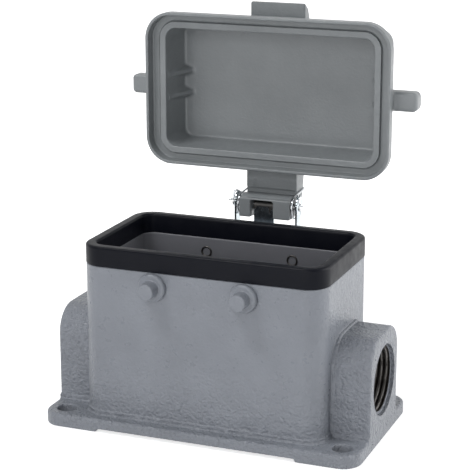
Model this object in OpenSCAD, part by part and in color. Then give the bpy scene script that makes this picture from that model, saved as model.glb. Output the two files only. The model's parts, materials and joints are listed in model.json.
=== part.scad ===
// Surface-mounting housing of a heavy-duty rectangular connector: a die-cast
// box on a bolt-down base, with a cable entry at each end, a rubber seal on the
// rim, four locking pegs and a hinged metal cover that stands open.
// X runs along the housing, +Y to the hinge side, +Z up.
// The origin is the middle of the base, on the surface it is bolted to.

/* [Housing] */
// Length of the housing over its end walls
body_l = 72.8; // [66:0.2:90]
// Width of the housing over its long walls
body_w = 42.8; // [40:0.2:52]
// Radius of the housing's upright corners
body_r = 6.4; // [5:0.2:9]
// Height of the shoulder that the seal sits on
shoulder_z = 48.3; // [44:0.1:60]
// Thickness of the housing's walls
wall = 3.3; // [2.8:0.1:4]
// Height of the floor inside the housing
floor_z = 4.4; // [3.4:0.1:7]

/* [Base] */
// Distance the base plate stands out past each end wall
base_end = 11.35; // [9:0.05:16]
// Distance the base plate stands out past each long wall
base_side = 4.3; // [3.6:0.1:8]
// Thickness of the base plate
base_t = 3.9; // [3:0.1:6]
// Radius of the base plate's corners
base_r = 5.6; // [4:0.1:8]
// Rounding along the top edge of the base plate
base_edge = 0.9; // [0.3:0.1:1.5]
// Length of the foot pad at each end of the base
foot_l = 17.4; // [10:0.2:24]
// Height of the foot pads below the plate's underside
foot_h = 1; // [0.4:0.1:1.6]
// Distance of the mounting holes from the ends of the base
hole_in_x = 5.75; // [4.5:0.05:7]
// Distance of the mounting holes from the sides of the base
hole_in_y = 5.7; // [4.5:0.1:7]
// Diameter of the mounting holes
hole_d = 5.6; // [4.5:0.1:6.5]
// Fillet where the walls meet the base plate
root_fillet = 1.2; // [0.5:0.1:2]

/* [Cable entries] */
// Width of an entry boss
boss_w = 26.4; // [24:0.2:30]
// Height of the top of an entry boss
boss_top = 31.8; // [30:0.2:40]
// Rounding of an entry boss's upper corners
boss_r = 8; // [4:0.5:11]
// Height of the entry's centre
entry_z = 17.7; // [16:0.1:24]
// Diameter of the threaded entry, over the crests of its thread
entry_d = 18.4; // [14:0.1:20]
// Width of the bevel at the entry's mouth
entry_bevel = 0.95; // [0.3:0.05:1.6]

/* [Insert screw pillars] */
// Distance of the insert's screws from the outside of the walls
insert_in = 7.9; // [7.6:0.1:9]
// Height of the ledge that the insert sits on
ledge_z = 34; // [26:0.5:40]
// Tapping diameter of the insert's screw holes
insert_hole_d = 3.3; // [2.5:0.1:3.6]
// Depth of the insert's screw holes
insert_hole_depth = 12; // [6:1:20]

/* [Rim seal] */
// Distance the seal stands proud of the walls
seal_proud = 0.1; // [0:0.05:0.3]
// Height of the top of the seal above the shoulder
seal_h = 5.8; // [4.5:0.1:8]
// Width of the seal's top
seal_top_w = 3.2; // [3:0.1:3.6]
// Thickness of the seal outside and inside the rim
seal_skin = 0.9; // [0.6:0.05:1]
// Rounding of the seal's upper edges
seal_edge = 0.7; // [0.3:0.1:0.8]
// Height of the rim that stands up into the seal
rim_h = 4; // [3:0.1:4.2]
// Clearance of the rim in the seal's slot
slot_gap = 0.05; // [0.02:0.01:0.1]

/* [Locking pegs] */
// Distance between the pegs along a wall
peg_dx = 27.2; // [22:0.2:40]
// Height of the pegs
peg_z = 44; // [40:0.2:44]
// Diameter of a peg's collar
peg_collar_d = 8.2; // [6:0.2:8.6]
// Thickness of a peg's collar
peg_collar_t = 1.6; // [0.8:0.1:2.5]
// Diameter of a peg's tip
peg_tip_d = 4.6; // [3.5:0.1:5.5]
// Distance of a peg's end from the housing wall
peg_reach = 5.6; // [4:0.1:8]
// Diameter of a peg's shank
peg_shank_d = 3.2; // [2.5:0.1:3.6]
// Clearance of the shank in the wall
peg_fit = 0.03; // [0.01:0.01:0.08]

/* [Cover] */
// Gap between the shut cover's rim and the ends of the seal
rim_gap_end = 1.15; // [0.6:0.05:2]
// Gap between the shut cover's rim and the sides of the seal
rim_gap_side = 0.75; // [0.5:0.05:2]
// Corner radius of the cover's rim
cover_r = 8.2; // [7:0.2:10]
// Depth of the cover from its rim to its top
cover_h = 18; // [16:0.5:24]
// How far the shut cover reaches down past the top of the seal
cover_overlap = 2.2; // [1.5:0.1:2.6]
// Gap between the shut cover and the seal
cover_gap = 0.3; // [0.2:0.05:0.5]
// Width of the rim's outer lip
lip_t = 0.95; // [0.8:0.05:1.2]
// Depth of the channel inside the rim
channel_d = 3.55; // [3.2:0.05:4]
// Width of the channel along the ends of the cover
channel_end = 2.6; // [2:0.05:3]
// Width of the channel along the sides of the cover
channel_side = 1.95; // [1.5:0.05:2.4]
// Width of the lip that presses on the seal
press_t = 1.95; // [1.5:0.05:2.4]
// Height of the rim's outer side
flange_t = 3.5; // [2.5:0.1:4.5]
// Distance from the rim's outer side to the cover's wall
flange_out = 3; // [2.5:0.1:3.4]
// Corner radius of the cavity at its mouth
cavity_r = 3.6; // [2.5:0.1:5]
// Depth of the cavity from the rim
cavity_d = 15.7; // [13.5:0.1:16.2]
// Draft of the cover's walls over their height
draft = 0.9; // [0.3:0.1:1.2]

/* [Cover details] */
// Distance an end ear stands out past the cover's rim
ear_out = 6.8; // [3:0.1:10]
// Width of an ear across the cover
ear_w = 5.8; // [4:0.1:8]
// Height of an ear
ear_h = 6; // [4:0.1:8]
// Height of an ear's underside above the rim
ear_z = 4.6; // [4:0.1:6]
// Width of the finger tab
tab_w = 17; // [12:0.5:24]
// Distance the tab stands out past the cover's rim
tab_out = 3.1; // [1.5:0.1:5]
// Height of the tab's underside above the rim
tab_z = 11.1; // [8:0.1:12]
// Distance between the two stiffening ribs at each end
rib_pitch = 6.8; // [4:0.1:10]
// Thickness of a stiffening rib
rib_t = 1.6; // [0.8:0.1:2.4]

/* [Hinge] */
// Distance of the hinge axis behind the housing's wall
hinge_out = 13; // [12.8:0.1:16]
// Height of the hinge axis above the top of the seal
hinge_rise = 1.65; // [1.2:0.05:2.2]
// Angle that the cover stands open at
open_angle = 90; // [0:5:100]
// Width of the cover's arm and hinge block
block_w = 16.2; // [12:0.2:20]
// Radius of the hinge block about the pin
block_r = 3.45; // [3.2:0.05:3.6]
// Width of the notch in the hinge block
notch_w = 7.3; // [5:0.1:9]
// Offset of the notch from the middle of the block
notch_x = -0.8; // [-1.5:0.1:1.5]
// Distance from the hinge axis to the near face of the cover's arm
arm_near = 2.8; // [1.5:0.1:3.2]
// Thickness of the arm where it joins the cover
arm_t = 7.2; // [4:0.1:8]
// Diameter of the hinge pin
pin_d = 2; // [1.6:0.1:2.2]
// Running clearance of the hinge pin
pin_fit = 0.06; // [0.03:0.01:0.1]
// Length of the pin's end that stands out of the bracket
pin_end = 1.25; // [0.5:0.05:3]

/* [Hinge bracket] */
// Thickness of the bracket's sheet
sheet = 0.7; // [0.5:0.05:0.9]
// Clear width between the hinge block and each cheek of the bracket
cheek_gap = 1.35; // [1.2:0.05:2]
// Width of a cheek at the pin
cheek_w = 3.8; // [3.4:0.1:5]
// Height of the lower edge of the bracket
bracket_z = 26; // [20:0.5:28]
// Height of the bracket's plate on the wall
bracket_h = 12; // [8:0.5:13]
// Distance between the bracket's two rivets
rivet_dx = 11; // [8:0.5:13]
// Diameter of a rivet
rivet_d = 3; // [2:0.1:3.4]

/* [Hinge springs] */
// Diameter of the spring wire
wire_d = 0.6; // [0.4:0.05:0.7]
// Mean diameter of a spring's coil
coil_d = 6.6; // [5:0.1:7]

/* [Hidden] */
$fn = 64;
eps = 0.01;

paint = [0.53, 0.56, 0.60];
cover_paint = [0.50, 0.52, 0.54];
rubber = [0.10, 0.10, 0.11];
zinc = [0.78, 0.80, 0.82];

// the base, its holes and the bosses
base_l = body_l + 2 * base_end;
base_w = body_w + 2 * base_side;
hole_dx = base_l - 2 * hole_in_x;
hole_dy = base_w - 2 * hole_in_y;
insert_dx = body_l - 2 * insert_in;
insert_dy = body_w - 2 * insert_in;
// the inside of the housing
inner_l = body_l - 2 * wall;
inner_w = body_w - 2 * wall;
inner_r = body_r - wall;
// the seal and the rim that stands inside it
seal_l = body_l + 2 * seal_proud;
seal_w = body_w + 2 * seal_proud;
rim_l = seal_l - 2 * seal_skin - 2 * slot_gap;
rim_w = seal_w - 2 * seal_skin - 2 * slot_gap;
rim_t = seal_top_w - 2 * seal_skin - 2 * slot_gap;
seal_r = body_r + seal_proud;
seal_z = shoulder_z + seal_h;
// the pillars under the insert's screws reach from the walls past the screws
pillar_x = insert_dx / 2 - 1.3 * insert_hole_d;
pillar_y = insert_dy / 2 - insert_hole_d;
// the shut cover
cover_l = seal_l + 2 * (rim_gap_end + lip_t);
cover_w = seal_w + 2 * (rim_gap_side + lip_t);
cavity_l = cover_l - 2 * (lip_t + channel_end + press_t);
cavity_w = cover_w - 2 * (lip_t + channel_side + press_t);
cover_z = seal_z - cover_overlap;
press_up = cover_overlap + cover_gap;
shell_l = cover_l - 2 * flange_out;
shell_w = cover_w - 2 * flange_out;
shell_edge = 2.6;
cavity_edge = 1.4;
ear_span = cover_l + 2 * ear_out;
tab_reach = cover_w / 2 + tab_out;
// the hinge axis
hinge_y = body_w / 2 + hinge_out;
hinge_z = seal_z + hinge_rise;
// the bracket
cheek_in = block_w / 2 + cheek_gap;
cheek_out = cheek_in + sheet;
lug_r = 2.5;
lug_up = 1.1;
eye_r = pin_d / 2 + pin_fit + sheet;
notch_roof = eye_r + 0.35;
tongue_w = notch_w - 0.8;
tongue_y = hinge_y - eye_r;
wall_y = body_w / 2;
// the arm runs from the block about the pin into the cover's wall
arm_root = hinge_y - shell_w / 2 + wall / 3;
block_flat = 1.25 * block_r;
arm_knee = arm_root / 2;

// ---- plain shapes ----

// a rectangle with round corners, centred
module round_rect(l, w, r) {
    square([l - 2 * r, w], center = true);
    square([l, w - 2 * r], center = true);
    for (x = [-1, 1], y = [-1, 1])
        translate([x * (l / 2 - r), y * (w / 2 - r)]) circle(r);
}

// an upright block with round corners, from z0 to z1
module block(l, w, r, z0, z1) {
    translate([0, 0, z0]) linear_extrude(z1 - z0) round_rect(l, w, r);
}

// the children are half of a section, x measured outward from the corner's
// centre; it is carried round a rectangle with round corners
module carry_round(l, w, r) {
    for (a = [0, 180]) rotate(a) {
        translate([l / 2 - r, w / 2 - r, 0]) rotate([90, 0, 0])
            linear_extrude(w - 2 * r) children();
        translate([-(l / 2 - r), w / 2 - r, 0]) rotate([90, 0, 90])
            linear_extrude(l - 2 * r) children();
        translate([l / 2 - r, w / 2 - r, 0]) rotate_extrude(angle = 90) children();
        translate([-(l / 2 - r), w / 2 - r, 0]) rotate(90) rotate_extrude(angle = 90) children();
    }
}

// a slab with round corners and a rounded upper edge
module soft_slab(l, w, r, h, edge) {
    translate([0, 0, h / 2]) cube([l - 2 * r, w - 2 * r, h], center = true);
    carry_round(l, w, r) {
        square([r - edge, h]);
        square([r, h - edge]);
        translate([r - edge, h - edge]) circle(edge);
    }
}

// the children are drawn in the (y, z) plane and reach from x0 to x1
module across(x0, x1) {
    translate([x0, 0, 0]) rotate([90, 0, 90]) linear_extrude(x1 - x0) children();
}

// turns the shut cover about the hinge to where it stands
module opened() {
    translate([0, hinge_y, hinge_z]) rotate([-open_angle, 0, 0])
        translate([0, -hinge_y, -hinge_z]) children();
}

function unit(v) = v / norm(v);

// a round wire of radius r along a path
module wire(path, r, sides = 8) {
    n = len(path);
    lean = unit([1, 1, 1]);
    dirs = [for (i = [0:n - 1]) unit(path[min(i + 1, n - 1)] - path[max(i - 1, 0)])];
    points = [
        for (i = [0:n - 1]) let (a = unit(cross(dirs[i], lean)), b = cross(dirs[i], a))
            for (k = [0:sides - 1])
                path[i] + r * (a * cos(360 * k / sides) + b * sin(360 * k / sides))
    ];
    faces = concat(
        [[for (k = [0:sides - 1]) k]],
        [for (i = [0:n - 2], k = [0:sides - 1]) let (m = (k + 1) % sides)
            [i * sides + k, (i + 1) * sides + k, (i + 1) * sides + m, i * sides + m]],
        [[for (k = [sides - 1:-1:0]) (n - 1) * sides + k]]
    );
    polyhedron(points, faces, convexity = 6);
}

// ---- housing ----

// the concave fillet along the foot of the walls
module wall_root() {
    translate([0, 0, base_t]) carry_round(body_l, body_w, body_r)
        translate([body_r, 0]) difference() {
            translate([-0.4, -0.2]) square([root_fillet + 0.4, root_fillet + 0.2]);
            translate([root_fillet, root_fillet]) circle(root_fillet);
        }
}

module entry_boss_outline() {
    translate([-boss_w / 2, 0]) square([boss_w, boss_top - boss_r]);
    translate([-(boss_w / 2 - boss_r), 0]) square([boss_w - 2 * boss_r, boss_top]);
    for (y = [-1, 1]) translate([y * (boss_w / 2 - boss_r), boss_top - boss_r]) circle(boss_r);
}

module insert_pillars() {
    intersection() {
        block(inner_l + 2 * eps, inner_w + 2 * eps, inner_r, floor_z - eps, ledge_z);
        for (x = [-1, 1], y = [-1, 1])
            translate([x * (pillar_x + body_w / 2), y * (pillar_y + body_w / 2), ledge_z / 2])
                cube([body_w, body_w, ledge_z], center = true);
    }
}

// the threaded bore through an end wall and its boss, bevelled at the mouth
module entry_bore() {
    translate([0, 0, entry_z]) rotate([0, 90, 0]) {
        translate([0, 0, inner_l / 2 - 1]) cylinder(base_end + wall + 2, d = entry_d);
        translate([0, 0, base_l / 2 - entry_bevel])
            cylinder(entry_bevel + eps, d1 = entry_d, d2 = entry_d + 2 * entry_bevel + 2 * eps);
    }
}

module housing() {
    color(paint) difference() {
        union() {
            difference() {
                union() {
                    soft_slab(base_l, base_w, base_r, base_t, base_edge);
                    wall_root();
                    block(body_l, body_w, body_r, foot_h, shoulder_z);
                    across(-base_l / 2, base_l / 2) entry_boss_outline();
                    block(rim_l, rim_w, seal_r - seal_skin - slot_gap, shoulder_z - eps,
                        shoulder_z + rim_h);
                }
                block(inner_l, inner_w, inner_r, floor_z, shoulder_z);
                block(rim_l - 2 * rim_t, rim_w - 2 * rim_t,
                    seal_r - seal_skin - slot_gap - rim_t, shoulder_z - eps, seal_z);
                entry_bore();
                rotate(180) entry_bore();
            }
            insert_pillars();
        }
        translate([0, 0, foot_h / 2 - 1])
            cube([base_l - 2 * foot_l, base_w + 2, foot_h + 2], center = true);
        for (x = [-1, 1], y = [-1, 1]) {
            translate([x * hole_dx / 2, y * hole_dy / 2, -1]) cylinder(base_t + 2, d = hole_d);
            translate([x * insert_dx / 2, y * insert_dy / 2, ledge_z - insert_hole_depth])
                cylinder(insert_hole_depth + 1, d = insert_hole_d);
            translate([x * peg_dx / 2, y * wall_y, peg_z]) rotate([90, 0, 0])
                cylinder(4 * wall, d = peg_shank_d + 2 * peg_fit, center = true);
        }
        for (x = [-1, 1])
            translate([x * rivet_dx / 2, wall_y, bracket_z + bracket_h / 2]) rotate([90, 0, 0])
                cylinder(4 * wall, d = rivet_d + 2 * peg_fit, center = true);
    }
}

// ---- seal on the rim ----

module rim_seal() {
    color(rubber) translate([0, 0, shoulder_z]) difference() {
        carry_round(seal_l, seal_w, seal_r) translate([seal_r, 0]) {
            translate([-seal_top_w, 0]) square([seal_top_w, seal_h - seal_edge]);
            translate([-seal_top_w + seal_edge, 0])
                square([seal_top_w - 2 * seal_edge, seal_h]);
            for (x = [-seal_top_w + seal_edge, -seal_edge])
                translate([x, seal_h - seal_edge]) circle(seal_edge);
        }
        difference() {
            block(seal_l - 2 * seal_skin, seal_w - 2 * seal_skin, seal_r - seal_skin, -1,
                rim_h + slot_gap);
            block(rim_l - 2 * rim_t - 2 * slot_gap, rim_w - 2 * rim_t - 2 * slot_gap,
                seal_r - seal_skin - rim_t - 2 * slot_gap, -2, seal_h);
        }
    }
}

// ---- locking pegs ----

// a stepped peg with its axis on z: the collar seats at 0, the shank goes down
// through the wall and is staked over inside
module peg_blank() {
    tip_r = peg_tip_d / 2;
    collar_r = peg_collar_d / 2;
    collar_edge = peg_collar_t / 2;
    rotate_extrude() difference() {
        union() {
            translate([0, -wall - 0.25]) square([peg_shank_d / 2, wall + 0.25 + eps]);
            square([collar_r, peg_collar_t - collar_edge]);
            square([collar_r - collar_edge, peg_collar_t]);
            translate([collar_r - collar_edge, peg_collar_t - collar_edge]) circle(collar_edge);
            square([tip_r, peg_reach - 0.4]);
            square([tip_r - 0.4, peg_reach]);
            translate([tip_r - 0.4, peg_reach - 0.4]) circle(0.4);
        }
        translate([-1, -wall - 1.25]) square([1 + peg_shank_d / 4, 1.5]);
        translate([-5, -10]) square([5, 20]);
    }
}

module peg(x, y) {
    color(paint) translate([x * peg_dx / 2, y * wall_y, peg_z]) rotate([-y * 90, 0, 0])
        peg_blank();
}

module peg_front_left() { peg(-1, -1); }
module peg_front_right() { peg(1, -1); }
module peg_rear_left() { peg(-1, 1); }
module peg_rear_right() { peg(1, 1); }

// ---- cover, drawn shut and then opened ----

// points along an arc of radius r about c, from angle a0 to a1
function arc(c, r, a0, a1, steps = 8) =
    [for (i = [0:steps]) let (a = a0 + (a1 - a0) * i / steps) c + r * [cos(a), sin(a)]];

// half of the cover's outer section: the rim's side, the slope back to the
// drafted wall and the rounded top, x measured from the corner's centre
module cover_section() {
    wall_x = cover_r - flange_out;
    wall_low = flange_t + 0.65 * flange_out;
    lean = atan(draft / (cover_h - wall_low));
    top = [wall_x - draft - shell_edge, cover_h - shell_edge];
    polygon(concat(
        [[0, 0], [cover_r, 0], [cover_r, flange_t], [wall_x, wall_low]],
        arc(top, shell_edge, lean, 90),
        [[0, cover_h]]
    ));
}

module cover_shell() {
    translate([0, 0, cover_h / 2])
        cube([cover_l - 2 * cover_r, cover_w - 2 * cover_r, cover_h], center = true);
    carry_round(cover_l, cover_w, cover_r) cover_section();
}

// half of the cavity's section, drafted to a rounded floor
module cavity_section() {
    lean = atan(draft / cavity_d);
    edge = [cavity_r - draft - cavity_edge, cavity_d - cavity_edge];
    polygon(concat(
        [[0, -1], [cavity_r, -1], [cavity_r, 0]],
        arc(edge, cavity_edge, lean, 90),
        [[0, cavity_d]]
    ));
}

module cover_cavity() {
    translate([0, 0, (cavity_d - 1) / 2])
        cube([cavity_l - 2 * cavity_r, cavity_w - 2 * cavity_r, cavity_d + 1], center = true);
    carry_round(cavity_l, cavity_w, cavity_r) cavity_section();
}

// the channel that goes over the seal, and the step down to the pressing lip
module cover_channel() {
    difference() {
        block(cover_l - 2 * lip_t, cover_w - 2 * lip_t, cover_r - lip_t, -1, channel_d);
        block(cavity_l + 2 * press_t, cavity_w + 2 * press_t, cavity_r + press_t, -2,
            channel_d + 1);
    }
    block(cavity_l + 2 * press_t + eps, cavity_w + 2 * press_t + eps, cavity_r + press_t, -1,
        press_up);
}

module cover_ears() {
    r = 2.2;
    low = 0.6;
    for (x = [-1, 1]) {
        across(min(x * (shell_l / 2 - 2), x * ear_span / 2), max(x * (shell_l / 2 - 2),
            x * ear_span / 2)) {
            translate([-ear_w / 2, ear_z + low]) square([ear_w, ear_h - r - low]);
            translate([-ear_w / 2 + low, ear_z]) square([ear_w - 2 * low, low + eps]);
            translate([-ear_w / 2 + r, ear_z + low]) square([ear_w - 2 * r, ear_h - low]);
            for (y = [-1, 1]) {
                translate([y * (ear_w / 2 - r), ear_z + ear_h - r]) circle(r);
                translate([y * (ear_w / 2 - low), ear_z + low]) circle(low);
            }
        }
    }
}

// the finger tab: flat below, ramped above, with a gusset at each end
module cover_tab() {
    root = shell_w / 2 - 1.5;
    top = tab_z + 5.2;
    across(-tab_w / 2, tab_w / 2) polygon([
        [-root, tab_z], [-tab_reach, tab_z], [-tab_reach, tab_z + 0.9],
        [-tab_reach + 1.6, tab_z + 3.2], [-tab_reach + 4.2, tab_z + 4.5], [-root, top]
    ]);
    translate([0, 0, tab_z]) linear_extrude(1.6) polygon([
        [-tab_w / 2 - 3, -root], [-tab_w / 2 - 3, -shell_w / 2 + 0.2],
        [-tab_w / 2 - 1, -shell_w / 2 - 0.8], [-tab_w / 2, -shell_w / 2 - 3],
        [tab_w / 2, -shell_w / 2 - 3], [tab_w / 2 + 1, -shell_w / 2 - 0.8],
        [tab_w / 2 + 3, -shell_w / 2 + 0.2], [tab_w / 2 + 3, -root]
    ]);
}

// the wedge ribs between the cavity's ends and its floor
module cover_ribs() {
    end = cavity_l / 2;
    for (x = [0, 180], y = [-1, 1]) rotate(x)
        translate([0, y * rib_pitch / 2 + rib_t / 2, 0]) rotate([90, 0, 0])
            linear_extrude(rib_t) polygon([
                [end - 0.3, 5.4], [end + 0.6, 5.4], [end + 0.6, cavity_d + 0.5],
                [end - draft - 2.9, cavity_d + 0.5], [end - draft - 2.9, cavity_d - 0.6]
            ]);
}

// the arm and the hinge block: (y, z) of the cover standing open, from the pin
module arm_outline() {
    difference() {
        union() {
            circle(block_r);
            polygon([
                [arm_near, arm_root], [arm_near, 0.86 * block_r],
                [-block_flat, 0.78 * block_r], [-block_flat, -0.93 * block_r],
                [-0.4, -1.01 * block_r], [0.4, -1.01 * block_r],
                [arm_near + 0.6 * arm_t, -0.17 * block_r],
                [arm_near + 0.82 * arm_t, 0.5 * arm_knee],
                [arm_near + 0.93 * arm_t, arm_knee], [arm_near + arm_t, arm_root]
            ]);
        }
        circle(pin_d / 2 + pin_fit);
    }
}

module notch_outline() {
    reach = 1.5 * block_r;
    translate([-reach, -reach]) square([reach + notch_roof, reach]);
    translate([-reach, -1]) square([reach, 1 + notch_roof]);
    circle(notch_roof);
}

module cover_arm() {
    translate([0, hinge_y, hinge_z]) rotate([90, 0, 0]) difference() {
        across(-block_w / 2, block_w / 2) arm_outline();
        across(notch_x - notch_w / 2, notch_x + notch_w / 2) notch_outline();
    }
}

module cover() {
    color(cover_paint) opened() {
        translate([0, 0, cover_z]) {
            difference() {
                union() {
                    cover_shell();
                    cover_ears();
                    cover_tab();
                }
                cover_cavity();
                cover_channel();
            }
            cover_ribs();
        }
        cover_arm();
    }
}

// ---- hinge ----

module cheek_outline() {
    front = hinge_y - cheek_w + 1.4;
    rear = hinge_y + 1.4;
    difference() {
        union() {
            polygon([
                [wall_y, bracket_z], [wall_y + 2.2, bracket_z], [rear, hinge_z - 7],
                [rear, hinge_z], [front, hinge_z], [front, hinge_z - 5],
                [wall_y + 1.4, bracket_z + bracket_h], [wall_y, bracket_z + bracket_h]
            ]);
            translate([front + lug_r, hinge_z + lug_up]) circle(lug_r);
            translate([front, hinge_z - 1]) square([lug_r, 1 + lug_up]);
            translate([front, hinge_z - 0.5]) square([2 * lug_r, 0.5 + lug_up]);
        }
        translate([hinge_y, hinge_z]) circle(pin_d / 2 + 0.02);
    }
}

// the tongue rises from the plate and is rolled round the pin
module tongue_outline() {
    low = bracket_z + bracket_h;
    difference() {
        union() {
            translate([hinge_y, hinge_z]) circle(eye_r);
            polygon([
                [wall_y, low - 2], [wall_y + sheet, low - 2], [wall_y + sheet, low],
                [tongue_y + sheet, hinge_z - 6.4], [tongue_y + sheet, hinge_z],
                [tongue_y, hinge_z], [tongue_y, hinge_z - 6], [wall_y, low + 0.6]
            ]);
        }
        translate([hinge_y, hinge_z]) circle(pin_d / 2 + pin_fit);
    }
}

module hinge_bracket() {
    color(zinc) difference() {
        union() {
            translate([-cheek_out, wall_y, bracket_z]) cube([2 * cheek_out, sheet, bracket_h]);
            across(-cheek_out, -cheek_in) cheek_outline();
            across(cheek_in, cheek_out) cheek_outline();
            across(notch_x - tongue_w / 2, notch_x + tongue_w / 2) tongue_outline();
        }
        for (x = [-1, 1])
            translate([x * rivet_dx / 2, wall_y, bracket_z + bracket_h / 2]) rotate([90, 0, 0])
                cylinder(4 * wall, d = rivet_d + 2 * peg_fit, center = true);
    }
}

module rivet(x) {
    head_r = 0.9 * rivet_d;
    head_t = 1.2;
    out_y = wall_y + sheet;
    in_y = wall_y - wall;
    color(zinc) translate([x * rivet_dx / 2, 0, bracket_z + bracket_h / 2]) rotate([-90, 0, 0])
        rotate_extrude() {
            translate([0, in_y - 0.5]) square([rivet_d / 2, out_y - in_y + 0.7]);
            translate([0, in_y - 0.8]) square([0.7 * rivet_d, 0.8]);
            translate([0, out_y]) intersection() {
                square([head_r, head_t]);
                translate([0, head_t - 3.6]) circle(3.6);
            }
        }
}

module bracket_rivet_left() { rivet(-1); }
module bracket_rivet_right() { rivet(1); }

module hinge_pin() {
    color(zinc) translate([-cheek_out - pin_end, hinge_y, hinge_z]) rotate([0, 90, 0])
        cylinder(pin_end + 2 * cheek_out, d = pin_d);
}

// rounds a path off by cutting its corners
function eased(path) = concat(
    [path[0]],
    [for (i = [0:len(path) - 2]) each [
        0.75 * path[i] + 0.25 * path[i + 1], 0.25 * path[i] + 0.75 * path[i + 1]
    ]],
    [path[len(path) - 1]]
);

// one turn about the pin: one end hooks over the cheek, the other passes the
// hinge block and bears on the back of the arm
module spring(side) {
    r = coil_d / 2;
    seat = wire_d / 2 + pin_fit;
    x_out = cheek_in - seat;
    x_in = block_w / 2 + seat;
    over = lug_up + lug_r + seat;
    back = arm_near + 0.86 * arm_t + seat;
    steps = 30;
    turn = [for (i = [0:steps]) let (a = 95 - 350 * i / steps)
        [x_out + (x_in - x_out) * i / steps, r * cos(a), r * sin(a)]];
    hook = eased(eased([
        [cheek_out + 3 * wire_d, -0.6 * r, 0.4 * r], [cheek_out + 1.2 * wire_d, -0.6 * r, 0.4 * r],
        [cheek_out + seat, -0.5 * r, 0.7 * r], [cheek_out + 1.1 * seat, -0.35 * r, over + 0.1],
        [x_out + 0.5 * wire_d, -0.25 * r, over + 0.1], [x_out, -0.02 * r, r]
    ]));
    leg = eased(eased([
        [x_in, 0.15 * r, r + 0.1 * wire_d], [x_in, back - wire_d, 1.2 * r],
        [x_in - 0.5 * wire_d, back + 0.6 * wire_d, 1.22 * r],
        [x_in - 3.5 * wire_d, back + 0.6 * wire_d, 1.22 * r]
    ]));
    color(zinc) translate([0, hinge_y, hinge_z]) mirror([side < 0 ? 1 : 0, 0, 0])
        wire(concat(hook, turn, leg), wire_d / 2);
}

module spring_left() { spring(-1); }
module spring_right() { spring(1); }

housing();
rim_seal();
peg_front_left();
peg_front_right();
peg_rear_left();
peg_rear_right();
cover();
hinge_bracket();
bracket_rivet_left();
bracket_rivet_right();
hinge_pin();
spring_left();
spring_right();
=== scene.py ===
import json
import math

import bmesh
import bpy
import numpy as np
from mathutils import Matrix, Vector


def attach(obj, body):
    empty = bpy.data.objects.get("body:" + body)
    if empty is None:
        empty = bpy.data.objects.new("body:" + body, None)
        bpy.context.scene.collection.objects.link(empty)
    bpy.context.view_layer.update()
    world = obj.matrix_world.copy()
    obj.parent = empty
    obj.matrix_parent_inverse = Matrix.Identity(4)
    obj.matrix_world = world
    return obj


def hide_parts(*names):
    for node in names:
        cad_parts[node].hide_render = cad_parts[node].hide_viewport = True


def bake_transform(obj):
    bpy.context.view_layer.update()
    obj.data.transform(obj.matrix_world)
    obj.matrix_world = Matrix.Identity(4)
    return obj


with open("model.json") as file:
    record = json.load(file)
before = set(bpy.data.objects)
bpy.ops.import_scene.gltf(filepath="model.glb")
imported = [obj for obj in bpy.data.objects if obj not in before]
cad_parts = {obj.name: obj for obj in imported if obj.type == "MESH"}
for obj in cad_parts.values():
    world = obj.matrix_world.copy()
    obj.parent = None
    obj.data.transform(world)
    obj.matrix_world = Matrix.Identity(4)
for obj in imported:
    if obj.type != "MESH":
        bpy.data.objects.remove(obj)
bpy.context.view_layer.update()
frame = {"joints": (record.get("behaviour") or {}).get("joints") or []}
scene = bpy.context.scene
mm = 0.001
joint = frame["joints"][0]
hingeY, hingeZ = joint["pos_m"][1] / mm, joint["pos_m"][2] / mm
print("frame loaded")


# camera

view = dict(azimuth=21.42, height=15.28, distance=467.75, target=(2.65, 0.0, 55.37), lens=125.79, sensor=36.0,
            near=0.01, far=20.0)


def addCamera():
    az, el = math.radians(view["azimuth"]), math.radians(view["height"])
    back = Vector((math.sin(az) * math.cos(el), -math.cos(az) * math.cos(el), math.sin(el)))
    data = bpy.data.cameras.new("camera")
    data.lens, data.sensor_width = view["lens"], view["sensor"]
    data.clip_start, data.clip_end = view["near"], view["far"]
    cam = bpy.data.objects.new("camera", data)
    scene.collection.objects.link(cam)
    cam.rotation_euler = back.to_track_quat("Z", "Y").to_euler()
    cam.location = (Vector(view["target"]) + back * view["distance"]) * mm
    scene.camera = cam


addCamera()


# distance fields, in mm

def fillet(a, b, r):  # joins two solids with a concave radius
    u, v = np.maximum(r - a, 0), np.maximum(r - b, 0)
    return np.maximum(r, np.minimum(a, b)) - np.sqrt(u * u + v * v)


def eased(a, b, r):  # keeps what is in both, with a round edge
    u, v = np.maximum(r + a, 0), np.maximum(r + b, 0)
    return np.minimum(-r, np.maximum(a, b)) + np.sqrt(u * u + v * v)


def cut(a, b, r):  # takes b out of a and breaks the edge
    return eased(a, -b, r)


def oblong(u, v, halfU, halfV, r):  # rectangle with round corners
    a, b = np.abs(u) - (halfU - r), np.abs(v) - (halfV - r)
    return np.hypot(np.maximum(a, 0), np.maximum(b, 0)) + np.minimum(np.maximum(a, b), 0) - r


def outline(u, v, points):  # any closed outline
    u, v = np.broadcast_arrays(u, v)
    best = np.full(u.shape, 1e9)
    inside = np.zeros(u.shape, bool)
    for (ax, ay), (bx, by) in zip(points, points[1:] + points[:1]):
        ex, ey = bx - ax, by - ay
        t = np.clip(((u - ax) * ex + (v - ay) * ey) / (ex * ex + ey * ey), 0, 1)
        best = np.minimum(best, (u - ax - t * ex) ** 2 + (v - ay - t * ey) ** 2)
        if ay != by:
            inside ^= ((ay > v) != (by > v)) & (u < ex * (v - ay) / ey + ax)
    return np.where(inside, -1.0, 1.0) * np.sqrt(best)


def slope(field, p, h=0.02):  # the field's gradient at points p
    g = np.empty_like(p)
    for k in range(3):
        d = np.zeros(3)
        d[k] = h
        a, b = p + d, p - d
        g[:, k] = (field(*a.T) - field(*b.T)) / (2 * h)
    return g


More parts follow.
